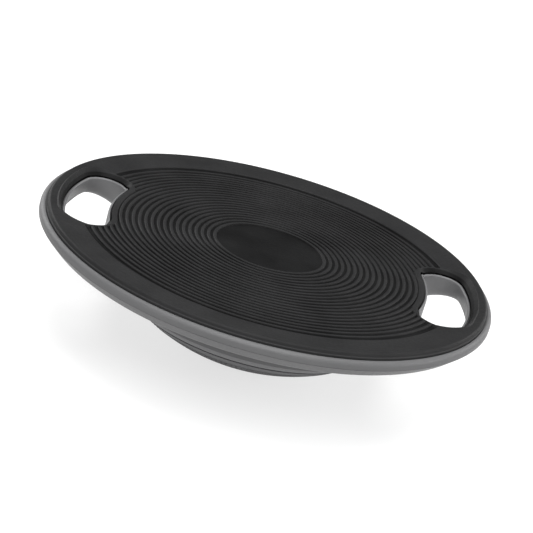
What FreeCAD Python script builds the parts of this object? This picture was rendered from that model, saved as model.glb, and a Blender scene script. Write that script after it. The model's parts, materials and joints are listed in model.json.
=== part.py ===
"""Round plastic wobble board, 400 mm across, with a rubber top mat and a spherical foot.

Millimetres. Z points up, the origin is at the centre of the flat at the bottom of the
foot, and the two hand holes lie on the X axis.
"""
import FreeCAD, Part
import math
import os

os.makedirs("parts", exist_ok=True)

# ---------------------------------------------------------------- driving dimensions
BOARD_RADIUS = 200.0
RIDGE_TOP = 98.8              # plane that the tops of the mat's ridges share

# top mat
MAT_BASE = 93.8               # underside of the mat, top of the deck plate
MAT_FIT_RADIUS = 193.0        # part of the mat that sits in the deck's pocket
MAT_EDGE = 193.9              # outer face of the mat
MAT_EDGE_LOW = 97.3
MAT_EDGE_TOP = 98.5
BEAD_RADIUS = 4.0             # rounded bead round the mat
BEAD_CENTRE = 188.9
BEAD_CENTRE_Z = 98.74
BEAD_TURN = 60.0              # degrees of the bead's round, before the slope down to the edge
VALLEY = 1.5                  # depth between ridges
RIDGE_FIRST = 48.8
RIDGE_PITCH = 5.505
RIDGE_COUNT = 20
RIDGE_LAST = 159.8            # one more ridge, a little apart from the others
RIDGE_HALF_TOP = 1.15
RIDGE_HALF_BASE = 1.8
BAND_START = 167.2            # plain band outside the ridges
BAND_START_RISE = 0.75
SURROUND = 4.6                # sloping plain strip round each hand hole
SURROUND_RISE = 0.3           # its outer edge, above the ridges
SURROUND_STEP = 0.9           # its inner edge, above the liner's lip
PEG_RADIUS = 2.5
PEG_BOTTOM = 90.0
PEG_PLACES = [(62.0, 45.0 + 90.0 * k) for k in range(4)] + [(178.0, 45.0 + 90.0 * k) for k in range(4)]

# hand holes, right-hand side; the left one is its mirror image
HOLE_OUTER_RADIUS = 181.0     # arc concentric with the board
HOLE_END_HALF = 61.9          # half length of the hole
HOLE_OUTER_CORNER = 18.9
HOLE_INNER_CORNER = 22.0
HOLE_INNER_ARC = 168.5
HOLE_INNER_X = 139.1          # where the inner arc crosses the X axis
HOLE_NIP = 4.8                # rounding where the inner arc meets the inner corners
LINER_WALL = 2.1
LINER_INSET = 2.7             # inner face of the liner, inside the mat's opening
LINER_GAP = 0.3
LIP = 0.7                     # bevel on both edges of the liner's lip
LIP_INNER = (141.0, 97.8)     # (radius, height) up to which the lip is high
LIP_OUTER = (147.0, 94.8)     # (radius, height) from which it is low
FLARE_RADIUS = 13.8           # bell mouth at the bottom of each hole
FLARE_TOP = RIDGE_TOP - 5.0   # where the bell mouth starts at its outer side
FLARE_SLOPE = 0.366
FLARE_INNER = 0.4             # how far it opens at the inner side, as a share of the radius
FLARE_OUTER = 0.3             # the same at the outer side; it opens fully at the ends
FLARE_BANDS = 7
SLEEVE = 13.0                 # outward reach of the solid part that the bell mouth is cut from
SLEEVE_TOP = 87.5
OUTLINE_STEP = 4.5            # length of the facets of the liner's outline

# deck shell
PLATE = 2.8
POCKET_RADIUS = 193.2
RIM_TOP = 96.9
SHOULDER = 5.0                # radius of the rounded shoulder
PART_LINE = 90.3              # seam between the two shells
SEAM = 0.2
TONGUE = (191.8, 193.8, 88.5)
RING_RIBS = (58.0, 108.0)
RIB = 2.4
RIB_OVERLAP = 0.5             # how far ribs and bosses run into the plate
INNER_RIB_ANGLES = [22.5 + 45.0 * k for k in range(8)]
INNER_RIB_LOW = 60.0
OUTER_RIB_ANGLES = [s + a for s in (0.0, 180.0) for a in (52.5, 77.5, 102.5, 127.5)]
OUTER_RIB_EDGE = [(132.0, 62.0), (188.0, 86.5)]

# base shell
WALL_END = (194.6, 84.4)      # where the slanted wall ends in a tight round
WALL_TURN = (192.3, 82.5)     # middle of that round
CONE_START = (189.5, 81.3)
COLLAR_RADIUS = 131.0
COLLAR_BOTTOM_RADIUS = 129.1
COLLAR_BOTTOM = 48.6
CONE_SLOPE = 0.42
CONE_WALL = 3.2               # upright thickness of the cone
CONE_INSIDE_END = 186.5
WALL_INSIDE = (191.7, 86.3)
WALL_INSIDE_TOP = 196.2
SOCKET_RADIUS = 126.3
FLOOR_BOTTOM = 51.2
FLOOR_TOP = 54.2

# rocker dome and its rubber cap
DOME_RADIUS = 179.1
DOME_CENTRE = 176.6
DOME_WALL = 3.2
DOME_TOP_RADIUS = 125.6
CAP_EDGE_Z = 37.4             # groove between the dome and the rubber cap
CAP_THICKNESS = 2.4
CAP_GROOVE = 1.2
FOOT_FLAT = 2.4               # rubber under the dome's own flat; the cap's flat is at z = 0
TREAD_ANGLES = [11.2 + 2.0 * k for k in range(14)]
TREAD_WIDTH = 0.35            # degrees
TREAD_DEPTH = 0.8
DOME_RIBS = 8
DOME_RING = 50.0
DOME_RIB_END = 122.0

# screws
SHELL_SCREW_RADIUS = 165.0
SHELL_SCREW_ANGLES = [s + a for s in (0.0, 180.0) for a in (40.0, 65.0, 90.0, 115.0, 140.0)]
SHELL_SEAT = 76.0
SHELL_PILLAR_TOP = 80.5
SHELL_SCREW_LENGTH = 13.5
DOME_SCREW_RADIUS = 88.0
DOME_SCREW_ANGLES = [30.0 + 60.0 * k for k in range(6)]
DOME_SCREW_LENGTH = 18.0
BOSS = 5.0
PILLAR = 6.2
SHANK = 1.9
PILOT = 2.0
CLEARANCE_HOLE = 2.3
HEAD = 3.9
HEAD_HEIGHT = 2.6
HEAD_ROUND = 0.8
POINT = 2.0                   # tapered end of the shank
CROSS = (4.4, 0.9, 1.5)       # length, width and height of each arm of the cross recess
COUNTERBORE = 4.4


# ---------------------------------------------------------------- helpers
def vec(x, y, z=0.0):
    return FreeCAD.Vector(x, y, z)


def revolve(path):
    """Solid of revolution about Z. The path lists (r, z), or ((r, z), (r, z)) for an arc's
    middle and end, and closes on itself."""
    edges = []
    last = path[0]
    for step in path[1:] + [path[0]]:
        if isinstance(step[0], tuple):
            middle, end = step
            edges.append(Part.Arc(vec(last[0], 0, last[1]), vec(middle[0], 0, middle[1]),
                                  vec(end[0], 0, end[1])).toShape())
            last = end
        else:
            edges.append(Part.LineSegment(vec(last[0], 0, last[1]), vec(step[0], 0, step[1])).toShape())
            last = step
    face = Part.Face(Part.Wire(edges))
    return face.revolve(vec(0, 0), vec(0, 0, 1), 360)


def at(shape, radius, angle):
    """Copy of a shape built on the Z axis, moved out to a place on the board."""
    moved = shape.copy()
    moved.rotate(vec(0, 0), vec(0, 0, 1), angle)
    turn = math.radians(angle)
    moved.translate(vec(radius * math.cos(turn), radius * math.sin(turn)))
    return moved


def rod(radius, low, high):
    return Part.makeCylinder(radius, high - low, vec(0, 0, low))


def ring(inner, outer, low, high):
    return rod(outer, low, high).cut(rod(inner, low - 1, high + 1))


def radial_rib(outline, angle):
    """Flat rib of the usual thickness, from an (r, z) outline, standing at an angle."""
    points = [vec(r, -RIB / 2, z) for r, z in outline]
    plate = Part.Face(Part.makePolygon(points + points[:1])).extrude(vec(0, RIB, 0))
    plate.rotate(vec(0, 0), vec(0, 0, 1), angle)
    return plate


def mirrored(shape):
    return shape.mirror(vec(0, 0), vec(1, 0))


def both_sides(shape):
    """A shape built for the hand hole at +X, and its mirror image for the other hole."""
    return [shape, mirrored(shape)]


def save(name, shape):
    shape.exportStep("parts/" + name + ".step")


# ---------------------------------------------------------------- outline of a hand hole
def outline_arcs():
    """The mat's opening as arcs (centre x, centre y, radius, sign, start angle, end angle).
    The sign is 1 where the hole lies inside the arc and -1 where it lies outside."""
    outer_y = HOLE_END_HALF - HOLE_OUTER_CORNER
    inner_y = HOLE_END_HALF - HOLE_INNER_CORNER
    end_x = math.sqrt((HOLE_OUTER_RADIUS - HOLE_OUTER_CORNER) ** 2 - outer_y ** 2)
    arc_x = HOLE_INNER_X - HOLE_INNER_ARC
    far = HOLE_INNER_ARC + HOLE_NIP
    near = HOLE_INNER_CORNER - HOLE_NIP
    gap = math.hypot(end_x - arc_x, inner_y)
    lean = math.acos((far ** 2 - near ** 2 + gap ** 2) / (2 * far * gap))
    lean += math.atan2(inner_y, end_x - arc_x)
    nip_x = arc_x + far * math.cos(lean)
    nip_y = far * math.sin(lean)
    start = math.atan2(nip_y - inner_y, nip_x - end_x)
    out = math.atan2(outer_y, end_x)
    quarter = math.pi / 2
    upper = [
        (nip_x, nip_y, HOLE_NIP, 1, lean + math.pi, start),
        (end_x, inner_y, HOLE_INNER_CORNER, 1, start, quarter),
        (end_x, outer_y, HOLE_OUTER_CORNER, 1, quarter, out),
    ]
    lower = [(x, -y, radius, sign, -last, -first) for x, y, radius, sign, first, last in reversed(upper)]
    inner = (arc_x, 0.0, HOLE_INNER_ARC, -1, -lean, lean)
    outer = (0.0, 0.0, HOLE_OUTER_RADIUS, 1, out, -out)
    return [inner] + upper + [outer] + lower


def outline_wire(grow, z):
    """The outline, offset outwards by grow, as a flat wire."""
    edges = []
    for x, y, radius, sign, first, last in outline_arcs():
        reach = radius + sign * grow
        points = []
        for angle in (first, (first + last) / 2, last):
            points.append(vec(x + reach * math.cos(angle), y + reach * math.sin(angle), z))
        edges.append(Part.Arc(*points).toShape())
    return Part.Wire(edges)


def hole_prism(grow, low, high):
    """Upright prism over the outline of the hand hole at +X."""
    return Part.Face(outline_wire(grow, low)).extrude(vec(0, 0, high - low))


def outline_points():
    """Places round the outline as (x, y, outward x, outward y), about evenly spaced."""
    places = []
    for x, y, radius, sign, first, last in outline_arcs():
        pieces = max(3, round(abs(last - first) * radius / OUTLINE_STEP))
        for piece in range(pieces):
            angle = first + (last - first) * piece / pieces
            across, up = math.cos(angle), math.sin(angle)
            places.append((x + radius * across, y + radius * up, sign * across, sign * up))
    return places


def section(grow, height):
    """Closed polygon at an offset of the outline. The height is a number or a function of
    (x, y)."""
    points = []
    for x, y, gx, gy in outline_points():
        px, py = x + gx * grow, y + gy * grow
        points.append(vec(px, py, height(px, py) if callable(height) else height))
    return Part.makePolygon(points + points[:1])


def lip_height(x, y):
    """Height of the liner's lip: high along the inner side, low at the ends and outside."""
    share = (math.hypot(x, y) - LIP_INNER[0]) / (LIP_OUTER[0] - LIP_INNER[0])
    share = min(1.0, max(0.0, share))
    return LIP_INNER[1] + (LIP_OUTER[1] - LIP_INNER[1]) * share


def below_lip(drop):
    return lambda x, y: lip_height(x, y) - drop


def flare_section(grow, turn, floor=None):
    """Section of the bell mouth after its wall has turned by an angle. It slopes like the
    underside, or lies flat at the height given as floor."""
    points = []
    for x, y, gx, gy in outline_points():
        reach = grow - LINER_INSET + FLARE_RADIUS * (1 - math.cos(turn)) * flare_share(x, gy)
        z = FLARE_TOP - FLARE_SLOPE * (HOLE_OUTER_RADIUS - LINER_INSET - x)
        z -= FLARE_RADIUS * math.sin(turn)
        points.append(vec(x + gx * reach, y + gy * reach, z if floor is None else floor))
    return Part.makePolygon(points + points[:1])


def bell_mouth(grow, top):
    """Solid filling a hand hole from its top sections to below the base: upright at first,
    then opening downwards over a quarter round."""
    quarter = math.pi / 2
    sections = list(top)
    for band in range(FLARE_BANDS + 1):
        sections.append(flare_section(grow, quarter * band / FLARE_BANDS))
    sections.append(flare_section(grow, quarter, COLLAR_BOTTOM - 10.0))
    return Part.makeLoft(sections, True, True)


def flare_share(x, gy):
    """How far the bell mouth opens at a place: fully at the ends, less at the two sides."""
    share = (x - HOLE_INNER_X) / (HOLE_OUTER_RADIUS - HOLE_INNER_X)
    side = FLARE_INNER + (FLARE_OUTER - FLARE_INNER) * min(1.0, max(0.0, share))
    return side + (1.0 - side) * gy ** 2


# ---------------------------------------------------------------- top mat
def bead_point(turn):
    """Place on the bead's round, at an angle from its crest."""
    swing = math.radians(turn)
    return BEAD_CENTRE + BEAD_RADIUS * math.sin(swing), BEAD_CENTRE_Z + BEAD_RADIUS * math.cos(swing)


def top_mat():
    path = [
        (0.0, MAT_BASE),
        (MAT_FIT_RADIUS, MAT_BASE),
        (MAT_FIT_RADIUS, MAT_EDGE_LOW),
        (MAT_EDGE, MAT_EDGE_LOW),
        (MAT_EDGE, MAT_EDGE_TOP),
        bead_point(BEAD_TURN),
        (bead_point(BEAD_TURN / 2), bead_point(0.0)),
        (BAND_START, RIDGE_TOP + BAND_START_RISE),
        (BAND_START - 0.6, RIDGE_TOP - VALLEY),
    ]
    ridges = [RIDGE_LAST] + [RIDGE_FIRST + RIDGE_PITCH * k for k in reversed(range(RIDGE_COUNT))]
    for radius in ridges:
        path.append((radius + RIDGE_HALF_BASE, RIDGE_TOP - VALLEY))
        path.append((radius + RIDGE_HALF_TOP, RIDGE_TOP))
        path.append((radius - RIDGE_HALF_TOP, RIDGE_TOP))
        path.append((radius - RIDGE_HALF_BASE, RIDGE_TOP - VALLEY))
    path.append((0.0, RIDGE_TOP - VALLEY))
    mat = revolve(path)
    strip = hole_prism(SURROUND, MAT_BASE, RIDGE_TOP + SURROUND_RISE)
    opening = Part.makeLoft([
        section(0.0, MAT_BASE - 1),
        section(0.0, below_lip(-SURROUND_STEP)),
        section(SURROUND, RIDGE_TOP + SURROUND_RISE),
        section(2 * SURROUND, RIDGE_TOP + SURROUND),
    ], True, True)
    mat = mat.multiFuse(both_sides(strip)).cut(both_sides(opening))
    for radius, angle in PEG_PLACES:
        mat = mat.fuse(at(rod(PEG_RADIUS, PEG_BOTTOM, MAT_BASE + 0.5), radius, angle))
    return mat.removeSplitter()


# ---------------------------------------------------------------- deck shell
def deck_shell():
    centre = BOARD_RADIUS - SHOULDER
    low = RIM_TOP - SHOULDER
    half = math.sqrt(0.5) * SHOULDER
    under = MAT_BASE - PLATE
    deck = revolve([
        (0.0, MAT_BASE),
        (POCKET_RADIUS, MAT_BASE),
        (POCKET_RADIUS, RIM_TOP),
        (centre, RIM_TOP),
        ((centre + half, low + half), (BOARD_RADIUS, low)),
        (BOARD_RADIUS, PART_LINE),
        (BOARD_RADIUS - PLATE, PART_LINE),
        (BOARD_RADIUS - PLATE, under),
        (0.0, under),
    ])
    root = under + RIB_OVERLAP
    pieces = [ring(TONGUE[0], TONGUE[1], TONGUE[2], root)]
    for radius in RING_RIBS:
        pieces.append(ring(radius - RIB / 2, radius + RIB / 2, FLOOR_TOP, root))
    inner = [
        (RING_RIBS[0], root),
        (RING_RIBS[0], INNER_RIB_LOW),
        (RING_RIBS[1], INNER_RIB_LOW),
        (RING_RIBS[1], root),
    ]
    outer = [(RING_RIBS[1], root), (RING_RIBS[1], OUTER_RIB_EDGE[0][1])]
    outer += OUTER_RIB_EDGE + [(OUTER_RIB_EDGE[1][0], root)]
    pieces += [radial_rib(inner, angle) for angle in INNER_RIB_ANGLES]
    pieces += [radial_rib(outer, angle) for angle in OUTER_RIB_ANGLES]
    boss = rod(BOSS, SHELL_PILLAR_TOP, root)
    pieces += [at(boss, SHELL_SCREW_RADIUS, angle) for angle in SHELL_SCREW_ANGLES]
    deck = deck.multiFuse(pieces)
    pilot = rod(PILOT, SHELL_PILLAR_TOP - 1, under)
    holes = [at(pilot, SHELL_SCREW_RADIUS, angle) for angle in SHELL_SCREW_ANGLES]
    peg_hole = rod(PEG_RADIUS + 0.3, under - 6, MAT_BASE + 1)
    holes += [at(peg_hole, radius, angle) for radius, angle in PEG_PLACES]
    holes += both_sides(hole_prism(LINER_WALL + LINER_GAP - LINER_INSET, FLOOR_TOP, MAT_BASE + 5))
    return deck.cut(holes).removeSplitter()


# ---------------------------------------------------------------- base shell
def cone_z(radius):
    return CONE_START[1] - CONE_SLOPE * (CONE_START[0] - radius)


def base_outside(top):
    """Outer profile of the base, from its top edge at the seam down to the collar."""
    return [
        (BOARD_RADIUS, top),
        WALL_END,
        (WALL_TURN, CONE_START),
        (COLLAR_RADIUS, cone_z(COLLAR_RADIUS)),
        (COLLAR_BOTTOM_RADIUS, COLLAR_BOTTOM),
    ]


def base_shell():
    top = PART_LINE - SEAM
    path = base_outside(top)
    path += [
        (SOCKET_RADIUS, COLLAR_BOTTOM),
        (SOCKET_RADIUS, FLOOR_BOTTOM),
        (0.0, FLOOR_BOTTOM),
        (0.0, FLOOR_TOP),
        (COLLAR_RADIUS - PLATE, FLOOR_TOP),
        (COLLAR_RADIUS - PLATE, cone_z(COLLAR_RADIUS - PLATE) + CONE_WALL),
        (CONE_INSIDE_END, cone_z(CONE_INSIDE_END) + CONE_WALL),
        WALL_INSIDE,
        (WALL_INSIDE_TOP, top),
    ]
    base = revolve(path)
    body = revolve(base_outside(top) + [(0.0, COLLAR_BOTTOM), (0.0, top)])
    block = hole_prism(SLEEVE, FLOOR_TOP, SLEEVE_TOP)
    pieces = both_sides(block.common(body))
    pillar = rod(PILLAR, FLOOR_TOP, SHELL_PILLAR_TOP)
    for angle in SHELL_SCREW_ANGLES:
        pieces.append(at(pillar, SHELL_SCREW_RADIUS, angle).common(body))
    base = base.multiFuse(pieces)
    holes = []
    for angle in SHELL_SCREW_ANGLES:
        holes.append(at(rod(CLEARANCE_HOLE, FLOOR_TOP, SHELL_PILLAR_TOP + 1), SHELL_SCREW_RADIUS, angle))
        holes.append(at(rod(COUNTERBORE, FLOOR_TOP, SHELL_SEAT), SHELL_SCREW_RADIUS, angle))
    for angle in DOME_SCREW_ANGLES:
        holes.append(at(rod(CLEARANCE_HOLE, FLOOR_BOTTOM - 1, FLOOR_TOP + 1), DOME_SCREW_RADIUS, angle))
    grow = LINER_WALL + LINER_GAP
    holes += both_sides(bell_mouth(grow, [section(grow - LINER_INSET, RIDGE_TOP)]))
    return base.cut(holes).removeSplitter()


# ---------------------------------------------------------------- hand-hole liners
def handle_liner():
    """Tube that lines a hand hole, with a bevelled lip on top and a bell mouth below."""
    clear = RIDGE_TOP + 10.0
    outer = bell_mouth(LINER_WALL, [
        section(LINER_WALL - LIP - LINER_INSET, clear),
        section(LINER_WALL - LIP - LINER_INSET, below_lip(0.0)),
        section(LINER_WALL - LINER_INSET, below_lip(LIP)),
    ])
    inner = bell_mouth(0.0, [
        section(LIP - LINER_INSET, clear),
        section(LIP - LINER_INSET, below_lip(0.0)),
        section(-LINER_INSET, below_lip(LIP)),
    ])
    kept = revolve(base_outside(PART_LINE) + [
        (0.0, COLLAR_BOTTOM),
        (0.0, LIP_INNER[1]),
        LIP_INNER,
        LIP_OUTER,
        (BOARD_RADIUS, LIP_OUTER[1]),
    ])
    return outer.cut(inner).common(kept)


# ---------------------------------------------------------------- rocker dome
def sphere(radius):
    return Part.makeSphere(radius, vec(0, 0, DOME_CENTRE))


def cap_cutter():
    """Everything below the groove that runs round the dome."""
    return rod(DOME_RADIUS, -20.0, CAP_EDGE_Z)


def rocker_dome():
    body = sphere(DOME_RADIUS).common(rod(DOME_TOP_RADIUS, FOOT_FLAT, FLOOR_BOTTOM))
    seat = sphere(DOME_RADIUS + 5).cut(sphere(DOME_RADIUS - CAP_THICKNESS)).common(cap_cutter())
    groove = sphere(DOME_RADIUS + 5).cut(sphere(DOME_RADIUS - CAP_GROOVE))
    groove = groove.common(rod(DOME_RADIUS, CAP_EDGE_Z - 1, CAP_EDGE_Z + 1.4))
    hollow = rod(DOME_TOP_RADIUS - 6, FOOT_FLAT + DOME_WALL, FLOOR_BOTTOM)
    inside = sphere(DOME_RADIUS - CAP_THICKNESS - DOME_WALL).common(hollow)
    shell = body.cut(seat).cut(groove).cut(inside)
    filler = sphere(DOME_RADIUS - CAP_THICKNESS - 1.0)
    low = FOOT_FLAT + 1.0
    pieces = [ring(DOME_RING - RIB / 2, DOME_RING + RIB / 2, low, FLOOR_BOTTOM)]
    rib = [(DOME_RING, low), (DOME_RIB_END, low), (DOME_RIB_END, FLOOR_BOTTOM), (DOME_RING, FLOOR_BOTTOM)]
    pieces += [radial_rib(rib, 360.0 / DOME_RIBS * k) for k in range(DOME_RIBS)]
    pieces += [at(rod(BOSS, low, FLOOR_BOTTOM), DOME_SCREW_RADIUS, angle) for angle in DOME_SCREW_ANGLES]
    shell = shell.multiFuse([piece.common(filler) for piece in pieces])
    pilot = rod(PILOT, FLOOR_TOP - DOME_SCREW_LENGTH - 1.5, FLOOR_BOTTOM + 1)
    return shell.cut([at(pilot, DOME_SCREW_RADIUS, angle) for angle in DOME_SCREW_ANGLES]).removeSplitter()


def dome_grip_cap():
    """Rubber cap on the lower part of the dome, with round tread grooves and a flat to rest on."""
    inside = sphere(DOME_RADIUS - CAP_THICKNESS).common(rod(DOME_RADIUS, FOOT_FLAT, FLOOR_BOTTOM))
    cap = sphere(DOME_RADIUS).common(rod(DOME_RADIUS, 0.0, CAP_EDGE_Z)).cut(inside)
    for angle in TREAD_ANGLES:
        path = []
        for turn, radius in ((-TREAD_WIDTH, DOME_RADIUS + 2), (TREAD_WIDTH, DOME_RADIUS + 2),
                             (TREAD_WIDTH, DOME_RADIUS - TREAD_DEPTH), (-TREAD_WIDTH, DOME_RADIUS - TREAD_DEPTH)):
            swing = math.radians(angle + turn)
            path.append((radius * math.sin(swing), DOME_CENTRE - radius * math.cos(swing)))
        cap = cap.cut(revolve(path))
    return cap


# ---------------------------------------------------------------- screws
def screw(seat, length, way):
    """Pan-head screw with a cross recess. Its head rests on the height given as seat, and
    way is 1 for a screw that points up, or -1 for one that points down."""
    body = revolve([
        (0.0, seat - way * HEAD_HEIGHT),
        (HEAD - HEAD_ROUND - 0.5, seat - way * HEAD_HEIGHT),
        (HEAD - 0.3, seat - way * (HEAD_HEIGHT - HEAD_ROUND)),
        (HEAD, seat),
        (SHANK, seat),
        (SHANK, seat + way * (length - POINT)),
        (0.0, seat + way * length),
    ])
    for turn in (0.0, 90.0):
        slot = Part.makeBox(*CROSS, vec(*[-size / 2 for size in CROSS]))
        slot.rotate(vec(0, 0), vec(0, 0, 1), turn)
        slot.translate(vec(0, 0, seat - way * HEAD_HEIGHT))
        body = body.cut(slot)
    return body


def screw_group(one, radius, angles):
    return Part.makeCompound([at(one, radius, angle) for angle in angles])


# ---------------------------------------------------------------- write the pieces
save("top_mat", top_mat())
save("deck_shell", deck_shell())
save("base_shell", base_shell())
for name, liner in zip(("right_handle_liner", "left_handle_liner"), both_sides(handle_liner())):
    save(name, liner)
save("rocker_dome", rocker_dome())
save("dome_grip_cap", dome_grip_cap())
save("shell_screws", screw_group(screw(SHELL_SEAT, SHELL_SCREW_LENGTH, 1),
                                 SHELL_SCREW_RADIUS, SHELL_SCREW_ANGLES))
save("dome_screws", screw_group(screw(FLOOR_TOP, DOME_SCREW_LENGTH, -1),
                                DOME_SCREW_RADIUS, DOME_SCREW_ANGLES))
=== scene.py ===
"""Looks of the round wobble board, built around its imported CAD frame.

Lengths in the shape code are millimetres, as the object is drawn, and MM turns them into
metres when a mesh is made.
"""
import json
import math

import bmesh
import bpy
from mathutils import Matrix, Vector


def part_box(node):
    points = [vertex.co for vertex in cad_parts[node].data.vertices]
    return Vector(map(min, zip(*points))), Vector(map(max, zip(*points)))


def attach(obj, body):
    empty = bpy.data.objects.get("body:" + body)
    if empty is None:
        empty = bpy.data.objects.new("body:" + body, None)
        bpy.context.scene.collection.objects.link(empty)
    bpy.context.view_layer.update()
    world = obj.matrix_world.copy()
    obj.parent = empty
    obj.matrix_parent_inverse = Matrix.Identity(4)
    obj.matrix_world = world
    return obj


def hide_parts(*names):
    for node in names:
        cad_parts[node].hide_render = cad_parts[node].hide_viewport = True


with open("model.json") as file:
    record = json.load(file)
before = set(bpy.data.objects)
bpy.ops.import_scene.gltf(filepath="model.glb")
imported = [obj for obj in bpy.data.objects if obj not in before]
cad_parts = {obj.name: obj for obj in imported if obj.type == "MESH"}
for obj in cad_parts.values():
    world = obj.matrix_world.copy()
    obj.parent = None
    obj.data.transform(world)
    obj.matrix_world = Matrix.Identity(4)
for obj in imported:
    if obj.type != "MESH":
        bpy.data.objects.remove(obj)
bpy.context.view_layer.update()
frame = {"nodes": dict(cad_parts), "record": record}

MM = 0.001
AROUND = 384                  # segments round the board

# heights and radii that several pieces share, read off the frame
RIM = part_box("deck_shell")[1].x / MM
MAT_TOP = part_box("top_mat")[1].z / MM
CAD_CREST_RISE = 3.94         # crest of the CAD mat, above its ridges
RIDGE_TOP = MAT_TOP - CAD_CREST_RISE


# ---------------------------------------------------------------- materials
class Shading:
    """A small helper that wires up one procedural material."""

    def __init__(self, name, colour, roughness, specular=0.5, metallic=0.0):
        self.material = bpy.data.materials.new(name)
        self.material.use_nodes = True
        self.tree = self.material.node_tree
        self.shader = self.tree.nodes["Principled BSDF"]
        self.shader.inputs["Base Color"].default_value = (*colour, 1.0)
        self.shader.inputs["Roughness"].default_value = roughness
        self.shader.inputs["Specular IOR Level"].default_value = specular
        self.shader.inputs["Metallic"].default_value = metallic
        self.place = self.tree.nodes.new("ShaderNodeTexCoord").outputs["Object"]

    def node(self, kind, **inputs):
        made = self.tree.nodes.new(kind)
        for key, value in inputs.items():
            socket = made.inputs[key.replace("_", " ")]
            if isinstance(value, bpy.types.NodeSocket):
                self.tree.links.new(value, socket)
            else:
                socket.default_value = value
        return made

    def noise(self, per_metre, detail=2.0, roughness=0.5):
        made = self.node("ShaderNodeTexNoise", Vector=self.place, Scale=per_metre,
                         Detail=detail, Roughness=roughness)
        return made.outputs["Fac"]

    def cells(self, per_metre):
        return self.node("ShaderNodeTexVoronoi", Vector=self.place, Scale=per_metre).outputs["Distance"]

    def spread(self, value, low, high, start=0.3, end=0.7):
        """Maps start..end of a value onto low..high."""
        made = self.node("ShaderNodeMapRange", Value=value)
        made.inputs["From Min"].default_value = start
        made.inputs["From Max"].default_value = end
        made.inputs["To Min"].default_value = low
        made.inputs["To Max"].default_value = high
        return made.outputs["Result"]

    def total(self, first, *others):
        for other in others:
            made = self.tree.nodes.new("ShaderNodeMath")
            self.tree.links.new(first, made.inputs[0])
            self.tree.links.new(other, made.inputs[1])
            first = made.outputs[0]
        return first

    def colour_between(self, share, first, second):
        made = self.tree.nodes.new("ShaderNodeMix")
        made.data_type = "RGBA"
        self.tree.links.new(share, made.inputs["Factor"])
        made.inputs[6].default_value = (*first, 1.0)
        made.inputs[7].default_value = (*second, 1.0)
        return made.outputs[2]

    def set(self, name, value):
        self.tree.links.new(value, self.shader.inputs[name])

    def bump(self, layers):
        """Stacks (height, depth in metres) layers of bump."""
        normal = None
        for height, depth in layers:
            made = self.node("ShaderNodeBump", Height=height, Strength=1.0, Distance=depth)
            if normal is not None:
                self.tree.links.new(normal, made.inputs["Normal"])
            normal = made.outputs["Normal"]
        self.set("Normal", normal)


def grey(level):
    return (level, level, level * 1.02)


MAT_FOOT = 194.5              # radius near which the small flange round the mat's foot starts


def mat_rubber():
    """Black rubber with painted highlights: its raised parts and the flange round its foot are paler,
    standing in for the light they catch.
    """
    made = Shading("mat_rubber", grey(0.018), 0.46, specular=0.05)
    height = made.node("ShaderNodeSeparateXYZ", Vector=made.place).outputs["Z"]
    # painted highlight: paler colour on everything at or above the ridge tops, for the light the ridges and
    # band catch
    raised_highlight = made.spread(height, 0.0, 0.45, start=(RIDGE_TOP - 0.5) * MM, end=(RIDGE_TOP - 0.02) * MM)
    flat = made.node("ShaderNodeVectorMath", Vector=made.place)
    flat.operation = "MULTIPLY"
    flat.inputs[1].default_value = (1.0, 1.0, 0.0)
    radius = made.node("ShaderNodeVectorMath", Vector=flat.outputs["Vector"])
    radius.operation = "LENGTH"
    # painted highlight: paler colour on the flange round the mat's foot, for the light its edge catches
    flange_highlight = made.spread(radius.outputs["Value"], 0.0, 0.4, start=(MAT_FOOT - 0.4) * MM, end=MAT_FOOT * MM)
    cloud = made.spread(made.noise(28.0, 4.0), 0.0, 0.2)
    made.set("Base Color", made.colour_between(made.total(raised_highlight, flange_highlight, cloud), grey(0.005), grey(0.030)))
    made.set("Roughness", made.spread(made.noise(340.0, 3.0), 0.4, 0.52))
    made.bump([(made.noise(2600.0, 2.0), 0.00006), (made.noise(700.0, 2.0), 0.00005)])
    return made.material


def shell_plastic(name, level, roughness, specular):
    made = Shading(name, grey(level), roughness, specular)
    cloud = made.noise(14.0, 3.0)
    tone = made.colour_between(made.spread(cloud, 0.0, 1.0), grey(level * 0.95), grey(level * 1.05))
    made.set("Base Color", tone)
    made.set("Roughness", made.spread(made.noise(520.0, 3.0), roughness - 0.05, roughness + 0.07))
    made.bump([(made.noise(3200.0, 2.0), 0.00003), (made.cells(1500.0), 0.00002)])
    return made.material


def cap_rubber():
    made = Shading("cap_rubber", grey(0.13), 0.7, specular=0.05)
    cloud = made.noise(40.0, 4.0)
    made.set("Base Color", made.colour_between(made.spread(cloud, 0.0, 1.0), grey(0.12), grey(0.14)))
    made.set("Roughness", made.spread(made.noise(400.0, 3.0), 0.6, 0.78))
    made.bump([(made.noise(1900.0, 2.0), 0.00008)])
    return made.material


def screw_steel():
    made = Shading("screw_steel", (0.56, 0.56, 0.58), 0.34, metallic=1.0)
    made.set("Roughness", made.spread(made.noise(2400.0, 2.0), 0.26, 0.46))
    made.bump([(made.noise(5200.0, 1.0), 0.00001)])
    return made.material


def dress(obj, material):
    obj.data.materials.clear()
    obj.data.materials.append(material)


MATERIALS = {
    "mat_rubber": mat_rubber(),
    "shell_grey": shell_plastic("shell_grey", 0.093, 0.46, 0.26),
    "liner_grey": shell_plastic("liner_grey", 0.117, 0.44, 0.37),
    "dome_grey": shell_plastic("dome_grey", 0.15, 0.5, 0.05),
    "cap_rubber": cap_rubber(),
    "screw_steel": screw_steel(),
}


# ---------------------------------------------------------------- mesh helpers
def new_piece(name, verts, faces, slot, smooth_angle=32.0):
    """Object from millimetre vertices, shaded smooth except at sharp corners."""
    mesh = bpy.data.meshes.new(name)
    mesh.from_pydata([(x * MM, y * MM, z * MM) for x, y, z in verts], [], faces)
    piece = bpy.data.objects.new(name, mesh)
    bpy.context.scene.collection.objects.link(piece)
    finish_mesh(piece, smooth_angle)
    dress(piece, MATERIALS[slot])
    return piece


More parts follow.
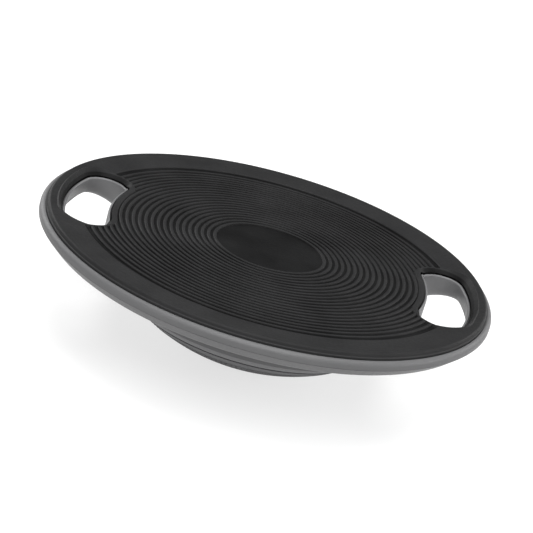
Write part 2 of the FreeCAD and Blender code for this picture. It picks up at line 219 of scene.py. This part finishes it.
def finish_mesh(piece, smooth_angle):
    mesh = bmesh.new()
    mesh.from_mesh(piece.data)
    bmesh.ops.remove_doubles(mesh, verts=mesh.verts, dist=1e-6)
    bmesh.ops.recalc_face_normals(mesh, faces=mesh.faces)
    limit = math.radians(smooth_angle)
    for face in mesh.faces:
        face.smooth = True
    for edge in mesh.edges:
        edge.smooth = edge.is_manifold and edge.calc_face_angle() < limit
    mesh.to_mesh(piece.data)
    mesh.free()


def rounded(corners, step=12.0):
    """Profile from (r, z) or (r, z, radius) corners, with each radius turned into an arc."""
    points = []
    count = len(corners)
    for index, corner in enumerate(corners):
        here = Vector(corner[:2])
        if len(corner) == 2:
            points.append((here.x, here.y))
            continue
        before = (Vector(corners[index - 1][:2]) - here).normalized()
        after = (Vector(corners[(index + 1) % count][:2]) - here).normalized()
        opening = before.angle(after)
        reach = corner[2] / math.tan(opening / 2)
        middle = here + (before + after).normalized() * (corner[2] / math.sin(opening / 2))
        start = here + before * reach - middle
        sweep = math.pi - opening
        if before.x * after.y - before.y * after.x > 0:
            sweep = -sweep
        pieces = max(2, math.ceil(abs(math.degrees(sweep)) / step))
        for k in range(pieces + 1):
            turned = start.copy()
            turned.rotate(Matrix.Rotation(sweep * k / pieces, 2))
            points.append((middle.x + turned.x, middle.y + turned.y))
    return points


def lathe(name, profile, slot, around=AROUND, closed=False, smooth_angle=32.0):
    """Surface of revolution about Z of a profile of (r, z) points."""
    verts, rows, faces = [], [], []
    for r, z in profile:
        count = 1 if r < 1e-6 else around
        rows.append([len(verts) + k for k in range(count)])
        for k in range(count):
            angle = 2 * math.pi * k / around
            verts.append((r * math.cos(angle), r * math.sin(angle), z))
    pairs = list(zip(rows, rows[1:]))
    if closed:
        pairs.append((rows[-1], rows[0]))
    for low, high in pairs:
        faces += band_faces(low, high, around)
    return new_piece(name, verts, faces, slot, smooth_angle)


def band_faces(low, high, count):
    """Faces between two rows of vertices; a row may be a single vertex."""
    faces = []
    for k in range(count):
        after = (k + 1) % count
        corners = [low[k % len(low)], low[after % len(low)], high[after % len(high)], high[k % len(high)]]
        face = list(dict.fromkeys(corners))
        if len(face) > 2:
            faces.append(face)
    return faces


def sweep(name, rings, slot, side, loop, smooth_angle=32.0):
    """Skin over rings of equal length. With loop, the last ring joins the first; otherwise
    the first and last rings are capped. side -1 mirrors it to -X."""
    count = len(rings[0])
    verts = [(side * x, y, z) for ring in rings for x, y, z in ring]
    rows = [[count * index + k for k in range(count)] for index in range(len(rings))]
    pairs = list(zip(rows, rows[1:]))
    if loop:
        pairs.append((rows[-1], rows[0]))
    faces = []
    for low, high in pairs:
        faces += band_faces(low, high, count)
    if not loop:
        faces += [rows[0], rows[-1]]
    return new_piece(name, verts, faces, slot, smooth_angle)


def carve(piece, cutters, smooth_angle=32.0):
    """Takes the cutters out of a piece and throws them away."""
    for cutter in cutters:
        modifier = piece.modifiers.new("carve", "BOOLEAN")
        modifier.operation = "DIFFERENCE"
        modifier.solver = "EXACT"
        modifier.object = cutter
    view = bpy.context.evaluated_depsgraph_get()
    carved = bpy.data.meshes.new_from_object(piece.evaluated_get(view))
    piece.modifiers.clear()
    piece.data = carved
    finish_mesh(piece, smooth_angle)
    for cutter in cutters:
        bpy.data.objects.remove(cutter)


def join(pieces):
    """Makes one object of several, keeping the first one's name."""
    with bpy.context.temp_override(active_object=pieces[0], selected_editable_objects=pieces,
                                   object=pieces[0], selected_objects=pieces):
        bpy.ops.object.join()
    return pieces[0]


# ---------------------------------------------------------------- outline of a hand hole
HOLE_OUTER = 181.0            # radius of its outer side, concentric with the board
HOLE_HALF = 61.9              # half its length
HOLE_OUTER_CORNER = 18.9
HOLE_INNER_CORNER = 22.0
HOLE_INNER_ARC = 168.5
HOLE_INNER = 139.1            # its inner side on the X axis
HOLE_NIP = 4.8                # rounding where the inner side meets the ends
LINER_INSET = 2.7             # inner face of the liner, inside the mat's opening
LIP_INNER = (141.0, RIDGE_TOP - 1.0)    # (radius, height) up to which the lip is high
LIP_OUTER = (147.0, RIDGE_TOP - 4.0)    # (radius, height) from which it is low


def hole_arcs():
    """(centre x, centre y, radius, sign, first angle, last angle) of each arc. The sign is 1
    where the hole lies inside the arc and -1 where it lies outside."""
    outer_y = HOLE_HALF - HOLE_OUTER_CORNER
    inner_y = HOLE_HALF - HOLE_INNER_CORNER
    end_x = math.sqrt((HOLE_OUTER - HOLE_OUTER_CORNER) ** 2 - outer_y ** 2)
    arc_x = HOLE_INNER - HOLE_INNER_ARC
    far = HOLE_INNER_ARC + HOLE_NIP
    near = HOLE_INNER_CORNER - HOLE_NIP
    gap = math.hypot(end_x - arc_x, inner_y)
    lean = math.atan2(inner_y, end_x - arc_x) + math.acos((far ** 2 - near ** 2 + gap ** 2) / (2 * far * gap))
    nip_x, nip_y = arc_x + far * math.cos(lean), far * math.sin(lean)
    start = math.atan2(nip_y - inner_y, nip_x - end_x)
    out = math.atan2(outer_y, end_x)
    quarter = math.pi / 2
    upper = [
        (nip_x, nip_y, HOLE_NIP, 1, lean + math.pi, start),
        (end_x, inner_y, HOLE_INNER_CORNER, 1, start, quarter),
        (end_x, outer_y, HOLE_OUTER_CORNER, 1, quarter, out),
    ]
    lower = [(x, -y, radius, sign, -last, -first) for x, y, radius, sign, first, last in reversed(upper)]
    inner = (arc_x, 0.0, HOLE_INNER_ARC, -1, -lean, lean)
    outer = (0.0, 0.0, HOLE_OUTER, 1, out, -out)
    return [inner] + upper + [outer] + lower


def outline(step=2.0):
    """Places round the mat's opening as (x, y, outward x, outward y), about step apart."""
    places = []
    for x, y, radius, sign, first, last in hole_arcs():
        pieces = max(3, round(abs(last - first) * radius / step))
        for k in range(pieces):
            angle = first + (last - first) * k / pieces
            across, up = math.cos(angle), math.sin(angle)
            places.append((x + radius * across, y + radius * up, sign * across, sign * up))
    return places


def offset_ring(grow, height):
    """Ring round the hole at an offset; height is a number, or a function of (x, y)."""
    ring = []
    for x, y, gx, gy in outline():
        px, py = x + gx * grow, y + gy * grow
        ring.append((px, py, height(px, py) if callable(height) else height))
    return ring


def hole_plug(name, grow, low, high, side):
    return sweep(name, [offset_ring(grow, low), offset_ring(grow, high)], "mat_rubber", side, False)


# ---------------------------------------------------------------- top mat
MAT_BASE = RIDGE_TOP - 5.0
VALLEY = 1.5                  # depth between ridges
RIDGES = [48.8 + 5.505 * k for k in range(20)] + [159.8]
RIDGE_HALF = 1.9
RIDGE_SHAPE = ((-1.0, 0.0), (-0.86, 0.42), (-0.66, 0.82), (-0.4, 0.97), (0.0, 1.0),
               (0.4, 0.97), (0.66, 0.82), (0.86, 0.42), (1.0, 0.0))
BAND_START = 167.2            # plain band outside the ridges
BAND_RISE = 0.75
BAND_SLOPE = 0.147
BAND_END = 182.0              # here a shallow dip starts, inside the crest
CREST = 191.9                 # crest of the mat, where it rounds over to its side
CREST_HEIGHT = MAT_TOP - 0.9
CREST_ROUND = 2.0
DIP = ((7.4, 0.18), (5.0, 0.26), (3.6, 0.2), (2.4, 0.08), (1.1, 0.0))    # (inward, down) from the crest
MAT_EDGE = 195.3              # outer face of the small flange round the mat's foot
FLANGE = 0.9                  # its width
MAT_EDGE_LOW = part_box("deck_shell")[1].z / MM - 0.9    # its underside, in the deck's rebate
STRIP = 4.6                   # plain strip that slopes down into each hand hole
STRIP_STEP = 1.1              # its inner edge, above the liner's lip
STRIP_EDGE = 0.45             # place of that edge, outside the hole's outline
STRIP_NOSE = 0.5              # its thickness there, over a dark undercut
STRIP_CROWN = ((0.1, 0.12), (0.25, 0.16), (0.45, 0.14), (0.65, 0.08), (0.85, 0.0))    # (share, rise)
UNDERCUT = 2.2
MAT_FIT = 193.0               # part of the mat that sits in the deck's pocket
MAT_GAP = 0.2                 # clearance between the mat and the deck
EDGE_GAP = 0.4                # the same round the flange


def band_height(radius):
    """Height of the plain band, which rises outward. The mat's skin follows it to BAND_END, and
    the strips round the hand holes follow it all the way."""
    return RIDGE_TOP + BAND_RISE + BAND_SLOPE * (radius - BAND_START)


def mat_profile():
    """Outline of the mat: disc, ridges, band, dip, crest, side, flange and underside."""
    top, valley = RIDGE_TOP, RIDGE_TOP - VALLEY
    profile = [(0.0, valley), (RIDGES[0] - RIDGE_HALF - 1.4, valley)]
    for radius in RIDGES:
        profile += [(radius + RIDGE_HALF * x, valley + VALLEY * z) for x, z in RIDGE_SHAPE]
    profile += [(BAND_START - 1.9, valley), (BAND_START - 1.1, valley + 0.1), (BAND_START - 0.75, top - 0.3),
                (BAND_START - 0.45, top + 0.45), (BAND_START, band_height(BAND_START)),
                (BAND_START + 0.8, band_height(BAND_START + 0.8) + 0.03)]
    profile += [(radius, band_height(radius)) for radius in (173.0, 179.0, BAND_END)]
    profile += [(CREST - inward, CREST_HEIGHT - drop) for inward, drop in DIP]
    for turn in range(0, 76, 15):
        angle = math.radians(turn)
        profile.append((CREST + CREST_ROUND * math.sin(angle),
                        CREST_HEIGHT - CREST_ROUND * (1 - math.cos(angle))))
    profile += [(MAT_EDGE - FLANGE - 0.2, RIDGE_TOP + 0.5), (MAT_EDGE - FLANGE, RIDGE_TOP + 0.1),
                (MAT_EDGE - 0.25, RIDGE_TOP), (MAT_EDGE, RIDGE_TOP - 0.3), (MAT_EDGE, MAT_EDGE_LOW),
                (MAT_FIT, MAT_EDGE_LOW), (MAT_FIT, MAT_BASE), (0.0, MAT_BASE)]
    return profile


def strip_height(x, y):
    """Height of a strip's outer edge, just above the band and the ridges."""
    return max(RIDGE_TOP + 0.2, band_height(math.hypot(x, y)) + 0.06)


def lip_height(x, y):
    """Height of the liner's lip: high along the inner side, low at the ends and outside."""
    share = min(1.0, max(0.0, (math.hypot(x, y) - LIP_INNER[0]) / (LIP_OUTER[0] - LIP_INNER[0])))
    return LIP_INNER[1] + (LIP_OUTER[1] - LIP_INNER[1]) * share * share * (3 - 2 * share)


def strip_rings():
    """Closed loop of sections of the strip: up its outside, down its slope, round its nose, and
    back under it along a thin ledge."""
    def level(drop):
        return lambda x, y: strip_height(x, y) - drop

    def slope(share, drop=0.0):
        def height(x, y):
            top = strip_height(x, y)
            return top + (lip_height(x, y) + STRIP_STEP - top) * share - drop

        return height

    rings = [offset_ring(STRIP + 2.6, MAT_BASE), offset_ring(STRIP + 2.6, level(2.0)),
             offset_ring(STRIP + 1.3, level(1.1)), offset_ring(STRIP + 0.6, level(0.3)),
             offset_ring(STRIP, level(0.0))]
    for share, rise in STRIP_CROWN:
        rings.append(offset_ring(STRIP + (STRIP_EDGE - STRIP) * share, slope(share, -rise)))
    rings += [offset_ring(STRIP_EDGE, slope(1.0, 0.08)),
              offset_ring(STRIP_EDGE - 0.08, slope(1.0, STRIP_NOSE / 2)),
              offset_ring(STRIP_EDGE + 0.15, slope(1.0, STRIP_NOSE)),
              offset_ring(STRIP_EDGE + UNDERCUT, slope(1.0, STRIP_NOSE + 0.1)),
              offset_ring(STRIP_EDGE + UNDERCUT, MAT_BASE + 0.3), offset_ring(0.0, MAT_BASE + 0.3),
              offset_ring(0.0, MAT_BASE)]
    return rings


def build_mat():
    mat = lathe("mat_top_skin", mat_profile(), "mat_rubber", smooth_angle=50.0)
    cutters = [hole_plug("cutter", STRIP, MAT_BASE - 2.0, MAT_TOP + 2.0, side) for side in (1, -1)]
    carve(mat, cutters, smooth_angle=50.0)
    strips = [sweep("strip", strip_rings(), "mat_rubber", side, True, smooth_angle=50.0) for side in (1, -1)]
    mat = join([mat] + strips)
    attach(mat, "root")
    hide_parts("top_mat")


# ---------------------------------------------------------------- shells
PLATE = 2.8
RIM_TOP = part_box("deck_shell")[1].z / MM
SHOULDER = 4.0
PART_LINE = RIM_TOP - 6.6
SEAM = 0.2
CONE_START = (189.5, 81.3)
CONE_SLOPE = 0.42
CONE_END = (190.9, 81.0)      # where the cone turns up into the rim's wall
CONE_END_ROUND = 9.0
INSIDE_TOP = 196.2            # inner side of the rim's wall at the seam
INSIDE_BEND = (191.7, 86.3)
INSIDE_CONE = 186.5
CONE_WALL = 3.2
COLLAR = 131.0
COLLAR_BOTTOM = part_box("base_shell")[0].z / MM
SOCKET = 126.3
FLOOR = (COLLAR_BOTTOM + 2.6, COLLAR_BOTTOM + 5.6)
SCREW_CIRCLE = 165.0
SCREW_ANGLES = [s + a for s in (0.0, 180.0) for a in (40.0, 65.0, 90.0, 115.0, 140.0)]
COUNTERBORE = 4.4
SCREW_SEAT = 76.0


def cone_height(radius):
    return CONE_START[1] - CONE_SLOPE * (CONE_START[0] - radius)


def build_deck():
    profile = rounded([
        (0.0, MAT_BASE),
        (MAT_FIT + MAT_GAP, MAT_BASE),
        (MAT_FIT + MAT_GAP, MAT_EDGE_LOW - MAT_GAP),
        (MAT_EDGE + EDGE_GAP, MAT_EDGE_LOW - MAT_GAP),
        (MAT_EDGE + EDGE_GAP, RIM_TOP, 0.15),
        (RIM, RIM_TOP, SHOULDER),
        (RIM, PART_LINE),
        (RIM - PLATE, PART_LINE),
        (RIM - PLATE, MAT_BASE - PLATE),
        (0.0, MAT_BASE - PLATE),
    ], step=7.0)
    deck = lathe("deck_shell_skin", profile, "shell_grey")
    carve(deck, [hole_plug("cutter", -0.3, COLLAR_BOTTOM, MAT_TOP, side) for side in (1, -1)])
    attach(deck, "root")
    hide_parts("deck_shell")


def build_base():
    top = PART_LINE - SEAM
    profile = rounded([
        (0.0, FLOOR[0]),
        (SOCKET, FLOOR[0]),
        (SOCKET, COLLAR_BOTTOM, 0.4),
        (COLLAR - 1.9, COLLAR_BOTTOM, 0.9),
        (COLLAR, cone_height(COLLAR), 2.0),
        (*CONE_END, CONE_END_ROUND),
        (RIM, top, 0.3),
        (INSIDE_TOP, top),
        INSIDE_BEND,
        (INSIDE_CONE, cone_height(INSIDE_CONE) + CONE_WALL),
        (COLLAR - PLATE, FLOOR[1] + 6.0),
        (COLLAR - PLATE, FLOOR[1]),
        (0.0, FLOOR[1]),
    ], step=7.0)
    base = lathe("base_shell_skin", profile, "shell_grey")
    cutters = [sweep("cutter", mouth_plug(), "shell_grey", side, False) for side in (1, -1)]
    for angle in SCREW_ANGLES:
        cutters.append(bore("cutter", COUNTERBORE, 60.0, SCREW_SEAT, SCREW_CIRCLE, angle))
    carve(base, cutters)
    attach(base, "root")
    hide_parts("base_shell")


def bore(name, radius, low, high, circle, angle):
    turn = math.radians(angle)
    x, y = circle * math.cos(turn), circle * math.sin(turn)
    rings = []
    for z in (low, high):
        rings.append([(x + radius * math.cos(k * math.pi / 16), y + radius * math.sin(k * math.pi / 16), z)
                      for k in range(32)])
    return sweep(name, rings, "shell_grey", 1, False)


# ---------------------------------------------------------------- hand-hole liners
LINER_WALL = 1.95
LIP_ROUND = (1.45, 0.5)       # rounding of the lip's inner and outer edge
FLARE = 13.8                  # radius of the bell mouth at the bottom
FLARE_TOP = RIDGE_TOP - 5.0
FLARE_SLOPE = 0.366
FLARE_INNER = 0.4             # how far it opens at the inner side, as a share of the radius
FLARE_OUTER = 0.3             # the same at the outer side; it opens fully at the ends


def flare_share(x, gy):
    """How far the bell mouth opens at a place: fully at the ends, less at the two sides."""
    share = min(1.0, max(0.0, (x - HOLE_INNER) / (HOLE_OUTER - HOLE_INNER)))
    side = FLARE_INNER + (FLARE_OUTER - FLARE_INNER) * share
    return side + (1.0 - side) * gy ** 2


def mouth_point(place, turn, thickness):
    """Place on the bell mouth after its wall has turned by an angle."""
    x, y, gx, gy = place
    reach = FLARE * (1 - math.cos(turn)) * flare_share(x, gy)
    reach += thickness * math.cos(turn) - LINER_INSET
    z = FLARE_TOP - FLARE_SLOPE * (HOLE_OUTER - LINER_INSET - x)
    z += thickness * math.sin(turn) * flare_share(x, gy) - FLARE * math.sin(turn)
    return x + gx * reach, y + gy * reach, z


def mouth_end(place):
    """The turn at which the bell mouth meets the underside of the base, at most a quarter."""
    for step in range(91):
        turn = math.radians(step)
        x, y, z = mouth_point(place, turn, 0.0)
        if z < cone_height(math.hypot(x, y)):
            break
    return turn


def mouth_rings(thickness, bands=12):
    """Sections of the bell mouth from its top down to the underside."""
    places = outline()
    ends = [mouth_end(place) for place in places]
    rings = [[mouth_point(place, end * band / bands, thickness) for place, end in zip(places, ends)]
             for band in range(bands + 1)]
    foot = [(x, y, min(z, cone_height(math.hypot(x, y)) + thickness * 0.2)) for x, y, z in rings[-1]]
    return rings + [foot]


def mouth_plug():
    gap = LINER_WALL + 0.3
    rings = [offset_ring(gap - LINER_INSET, MAT_TOP)] + mouth_rings(gap)
    floor = [(x, y, COLLAR_BOTTOM - 5.0) for x, y, _ in rings[-1]]
    return rings + [floor]


def lip_rings():
    """Sections over the lip: up its inner edge, across and down its outer edge."""
    def level(drop):
        return lambda x, y: lip_height(x, y) - drop

    rings = []
    for turn in range(0, 91, 15):
        angle = math.radians(turn)
        across, down = LIP_ROUND[0] * (1 - math.cos(angle)), LIP_ROUND[0] * (1 - math.sin(angle))
        rings.append(offset_ring(across - LINER_INSET, level(down)))
    for turn in range(90, -1, -30):
        angle = math.radians(turn)
        across, down = LIP_ROUND[1] * (1 - math.cos(angle)), LIP_ROUND[1] * (1 - math.sin(angle))
        rings.append(offset_ring(LINER_WALL - across - LINER_INSET, level(down)))
    return rings


def build_liner(name, node, side):
    rings = list(reversed(mouth_rings(0.0))) + lip_rings() + mouth_rings(LINER_WALL)
    liner = sweep(name, rings, "liner_grey", side, True)
    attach(liner, "root")
    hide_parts(node)


# ---------------------------------------------------------------- rocker dome
DOME = 179.1
DOME_CENTRE = 176.6
DOME_EDGE = 125.6
DOME_WALL = 3.2
CAP_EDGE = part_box("dome_grip_cap")[1].z / MM
CAP_WALL = 2.4
CAP_GROOVE = 1.4
FOOT = 2.4                    # rubber under the dome's own flat
TREAD_FIRST = 12.5            # degrees from the pole
TREAD_PITCH = 1.62
TREAD_ROWS = 14
BAR_HEIGHT = 0.55
BAR_WIDTH = 1.5
BAR_SPACING = 4.4
BAR_LEAN = math.radians(32.0)
BAR_LEVELS = ((-0.9, 1.0), (-0.12, 0.92), (0.0, 0.7))    # (height over the dome, share of full size)


def dome_place(radius, angle):
    return radius * math.sin(angle), DOME_CENTRE - radius * math.cos(angle)


def sphere_arc(radius, low_z, high_z, pieces):
    """(r, z) points up a sphere about the dome's centre, from one height to another."""
    first = math.acos((DOME_CENTRE - low_z) / radius)
    last = math.acos((DOME_CENTRE - high_z) / radius)
    return [dome_place(radius, first + (last - first) * k / pieces) for k in range(pieces + 1)]


def build_dome():
    seat = DOME - CAP_WALL
    wall = seat - DOME_WALL
    ceiling = FLOOR[0]
    profile = [(0.0, FOOT)] + sphere_arc(seat, FOOT + 0.01, CAP_EDGE, 30)
    profile += sphere_arc(DOME - CAP_GROOVE, CAP_EDGE + 0.1, CAP_EDGE + 1.1, 2)
    profile += sphere_arc(DOME - 0.2, CAP_EDGE + 1.35, CAP_EDGE + 1.5, 1)
    profile += sphere_arc(DOME, CAP_EDGE + 1.9, COLLAR_BOTTOM + 0.2, 14)
    profile += [(DOME_EDGE, ceiling), (DOME_EDGE - 4.0, ceiling)]
    profile += list(reversed(sphere_arc(wall, FOOT + DOME_WALL, ceiling - 2.0, 16)))
    profile += [(0.0, FOOT + DOME_WALL)]
    dome = lathe("rocker_dome_skin", profile, "dome_grey", smooth_angle=28.0)
    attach(dome, "root")
    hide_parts("rocker_dome")


def tread_bar(verts, faces, latitude, longitude):
    """Adds one short slanting bar of the tread, standing on the rubber cap."""
    length = math.radians(TREAD_PITCH) * DOME * 0.36
    out = Vector((math.sin(latitude) * math.cos(longitude), math.sin(latitude) * math.sin(longitude),
                  -math.cos(latitude)))
    along = Vector((-math.sin(longitude), math.cos(longitude), 0.0))
    up = out.cross(along)
    run = along * math.cos(BAR_LEAN) + up * math.sin(BAR_LEAN)
    across = out.cross(run)
    centre = Vector((0.0, 0.0, DOME_CENTRE))
    start = len(verts)
    for height, grow in BAR_LEVELS:
        for a, b in ((-1, -1), (1, -1), (1, 1), (-1, 1)):
            spot = centre + out * (DOME + height) + run * (a * (length + 0.6) * grow) \
                + across * (b * BAR_WIDTH / 2 * grow)
            verts.append(tuple(spot))
    rows = [[start + 4 * k + j for j in range(4)] for k in range(3)]
    faces += band_faces(rows[0], rows[1], 4) + band_faces(rows[1], rows[2], 4) + [rows[0], rows[2]]


def build_cap():
    field = DOME - BAR_HEIGHT
    first = math.radians(TREAD_FIRST - TREAD_PITCH / 2)
    profile = [(0.0, 0.0), (DOME * math.sin(first) - 12.0, 0.0)]
    profile += [dome_place(DOME, first - math.radians(1.2)),
                dome_place(DOME - 0.1, first - math.radians(0.2))]
    top = CAP_EDGE - 1.6
    profile += sphere_arc(field, dome_place(field, first)[1], top, 34)
    profile += sphere_arc(DOME, top + 0.25, CAP_EDGE - 0.3, 4)
    profile += [(dome_place(DOME - 0.6, math.acos((DOME_CENTRE - CAP_EDGE) / (DOME - 0.6))))]
    profile += list(reversed(sphere_arc(DOME - CAP_WALL, FOOT + 0.01, CAP_EDGE, 30)))
    profile += [(0.0, FOOT)]
    cap = lathe("dome_grip_cap_skin", profile, "cap_rubber", smooth_angle=28.0)
    verts, faces = [], []
    for row in range(TREAD_ROWS):
        latitude = math.radians(TREAD_FIRST + TREAD_PITCH * row)
        count = round(2 * math.pi * DOME * math.sin(latitude) / BAR_SPACING)
        for k in range(count):
            tread_bar(verts, faces, latitude, 2 * math.pi * (k + 0.5 * (row % 2)) / count)
    bars = new_piece("tread", verts, faces, "cap_rubber")
    cap = join([cap, bars])
    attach(cap, "root")
    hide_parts("dome_grip_cap")


# ---------------------------------------------------------------- camera, light, floor
CAMERA_LENS = 116.6
CAMERA_DISTANCE = 1.4447
CAMERA_ELEVATION = math.radians(21.81)
CAMERA_AZIMUTH = math.radians(0.33)
CAMERA_ROLL = math.radians(16.06)
CAMERA_TARGET = Vector((0.0020, -0.0455, RIDGE_TOP * MM))


def add_camera():
    data = bpy.data.cameras.new("camera")
    data.lens = CAMERA_LENS
    data.sensor_width = 36.0
    data.clip_end = 50.0
    camera = bpy.data.objects.new("camera", data)
    bpy.context.scene.collection.objects.link(camera)
    turn = Matrix.Rotation(CAMERA_AZIMUTH, 4, "Z")
    turn = turn @ Matrix.Rotation(math.pi / 2 - CAMERA_ELEVATION, 4, "X")
    turn = turn @ Matrix.Rotation(CAMERA_ROLL, 4, "Z")
    back = turn.to_3x3() @ Vector((0, 0, 1))
    camera.matrix_world = Matrix.Translation(CAMERA_TARGET + back * CAMERA_DISTANCE) @ turn
    bpy.context.scene.camera = camera


WORLD_LIGHT = 0.13
FLOOR_GLOW = 0.68             # makes the floor a plain, nearly white ground
# name, place, size and power of each softbox
SOFTBOXES = (
    ("top", (0.0, 0.0, 2.4), 2.4, 64.0),
    ("high_front", (0.0, -1.5, 1.9), 1.6, 41.0),
    ("front_right", (1.6, -1.6, 0.8), 1.4, 6.0),
    ("front_left", (-1.6, -1.6, 0.8), 1.4, 12.0),
    ("right", (2.2, 0.0, 0.9), 1.4, 22.0),
    ("back_right", (1.6, 1.6, 0.9), 1.4, 12.0),
    ("back_left", (-1.6, 1.6, 0.9), 1.4, 20.0),
)


def add_area(name, place, size, power):
    data = bpy.data.lights.new(name, "AREA")
    data.shape = "DISK"
    data.size = size
    data.energy = power
    light = bpy.data.objects.new(name, data)
    bpy.context.scene.collection.objects.link(light)
    light.location = place
    aim = Vector((0.0, 0.0, 0.06)) - Vector(place)
    light.rotation_euler = aim.to_track_quat("-Z", "Y").to_euler()


def add_lights():
    for softbox in SOFTBOXES:
        add_area(*softbox)
    world = bpy.data.worlds.new("studio")
    world.use_nodes = True
    world.node_tree.nodes["Background"].inputs["Color"].default_value = (1.0, 1.0, 1.0, 1.0)
    world.node_tree.nodes["Background"].inputs["Strength"].default_value = WORLD_LIGHT
    bpy.context.scene.world = world


def add_floor():
    mesh = bpy.data.meshes.new("floor")
    reach = 12.0
    corners = [(-reach, -reach, 0.0), (reach, -reach, 0.0), (reach, reach, 0.0), (-reach, reach, 0.0)]
    mesh.from_pydata(corners, [], [(0, 1, 2, 3)])
    floor = bpy.data.objects.new("floor", mesh)
    bpy.context.scene.collection.objects.link(floor)
    made = Shading("floor_paint", (0.35, 0.35, 0.35), 0.6, specular=0.0)
    made.shader.inputs["Emission Color"].default_value = (1.0, 1.0, 1.0, 1.0)
    made.shader.inputs["Emission Strength"].default_value = FLOOR_GLOW
    tone = made.colour_between(made.spread(made.noise(3.0, 3.0), 0.0, 1.0), (0.34,) * 3, (0.36,) * 3)
    made.set("Base Color", tone)
    dress(floor, made.material)


for part in frame["record"]["subparts"]:
    dress(frame["nodes"][part["node"]], MATERIALS[part["material_slot"]])
build_mat()
build_deck()
build_base()
build_liner("right_liner_skin", "right_handle_liner", 1)
build_liner("left_liner_skin", "left_handle_liner", -1)
build_dome()
build_cap()

add_camera()
add_lights()
add_floor()
bpy.context.scene.view_settings.view_transform = "Standard"
